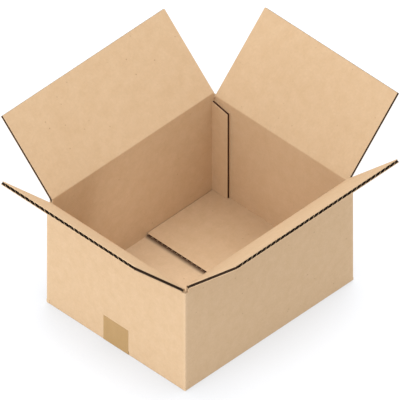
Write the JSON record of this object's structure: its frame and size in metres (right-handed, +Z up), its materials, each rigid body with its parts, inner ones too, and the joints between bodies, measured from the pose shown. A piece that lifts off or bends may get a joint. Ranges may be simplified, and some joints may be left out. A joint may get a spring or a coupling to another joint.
{
  "type": "open shipping box",
  "caption": "Open corrugated shipping box with hinged top flaps tilted outward, a taped bottom and a glue tab inside one corner.",
  "frame": {"origin": "middle of the underside, level with the surface that the box stands on", "axes": "+X along the length of the box, +Y along its width towards the back, +Z up"},
  "size_m": [0.4906, 0.431, 0.2641],
  "materials": {
    "kraft_board": "matte",
    "kraft_sheet": "matte",
    "sealing_tape": "satin"
  },
  "bodies": {
    "box": {"box_body": "kraft_board", "bottom_tape": "sealing_tape"},
    "front_flap": {"front_top_flap": "kraft_sheet"},
    "back_flap": {"back_top_flap": "kraft_sheet"},
    "left_flap": {"left_top_flap": "kraft_sheet"},
    "right_flap": {"right_top_flap": "kraft_sheet"}
  },
  "joints": [
    {"name": "front_flap_fold", "type": "hinge", "parent": "box", "child": "front_flap", "pos_m": [0, -0.12665, 0.1723], "axis": [1, 0, 0], "range_deg": [-135.5, 129.5]},
    {"name": "back_flap_fold", "type": "hinge", "parent": "box", "child": "back_flap", "pos_m": [0, 0.12665, 0.1723], "axis": [-1, 0, 0], "range_deg": [-135.5, 129.5]},
    {"name": "left_flap_fold", "type": "hinge", "parent": "box", "child": "left_flap", "pos_m": [-0.15515, 0, 0.167], "axis": [0, -1, 0], "range_deg": [-134, 131]},
    {"name": "right_flap_fold", "type": "hinge", "parent": "box", "child": "right_flap", "pos_m": [0.15515, 0, 0.167], "axis": [0, 1, 0], "range_deg": [-134, 131]}
  ]
}
